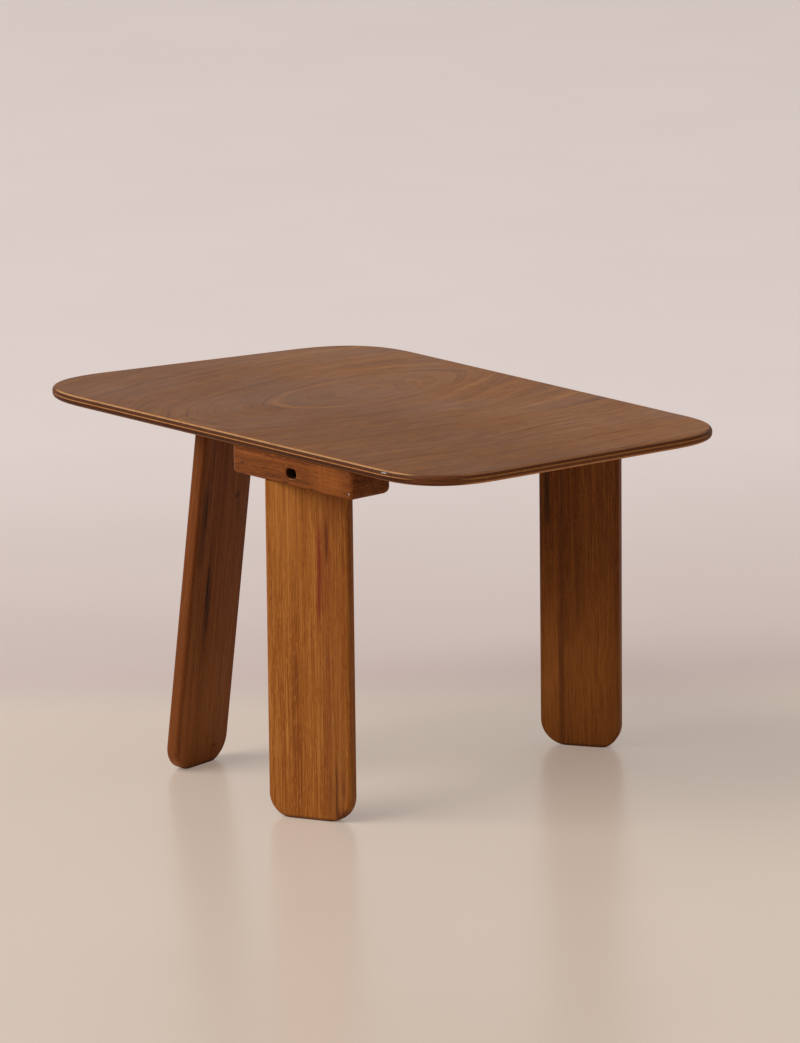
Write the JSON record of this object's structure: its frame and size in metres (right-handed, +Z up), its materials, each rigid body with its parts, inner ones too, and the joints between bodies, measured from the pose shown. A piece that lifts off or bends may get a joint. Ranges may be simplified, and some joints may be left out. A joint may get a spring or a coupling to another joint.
{
  "type": "low table",
  "caption": "Low side table with a rounded four-sided plywood top on splayed, round-footed leg boards held in cleats under the top.",
  "frame": {"origin": "on the floor, under the middle of the table's box", "axes": "+Z up; +X along the front side of the top, to the right; +Y from the front side to the back side"},
  "size_m": [0.7068, 0.454, 0.4],
  "materials": {
    "face_veneer": "brown stained veneer, satin",
    "cross_ply": "raw ply, sanded and oiled",
    "long_ply": "raw ply, sanded and oiled",
    "leg_wood": "solid teak-like board, oiled",
    "cleat_wood": "reddish solid wood, oiled",
    "pin_wood": "plain dowel",
    "screw_steel": "zinc-plated steel"
  },
  "bodies": {
    "root": {"top_face_veneer": "face_veneer", "top_upper_cross_core": "cross_ply", "top_middle_core": "long_ply", "top_lower_cross_core": "cross_ply", "top_backing_veneer": "long_ply", "front_leg": "leg_wood", "back_leg": "leg_wood", "left_leg": "leg_wood", "front_cleat": "cleat_wood", "back_cleat": "cleat_wood", "left_cleat": "cleat_wood", "front_pin": "pin_wood", "back_pin": "pin_wood", "left_pin": "pin_wood", "front_screw_1": "screw_steel", "front_screw_2": "screw_steel", "back_screw_1": "screw_steel", "back_screw_2": "screw_steel", "left_screw_1": "screw_steel", "left_screw_2": "screw_steel"}
  },
  "joints": []
}
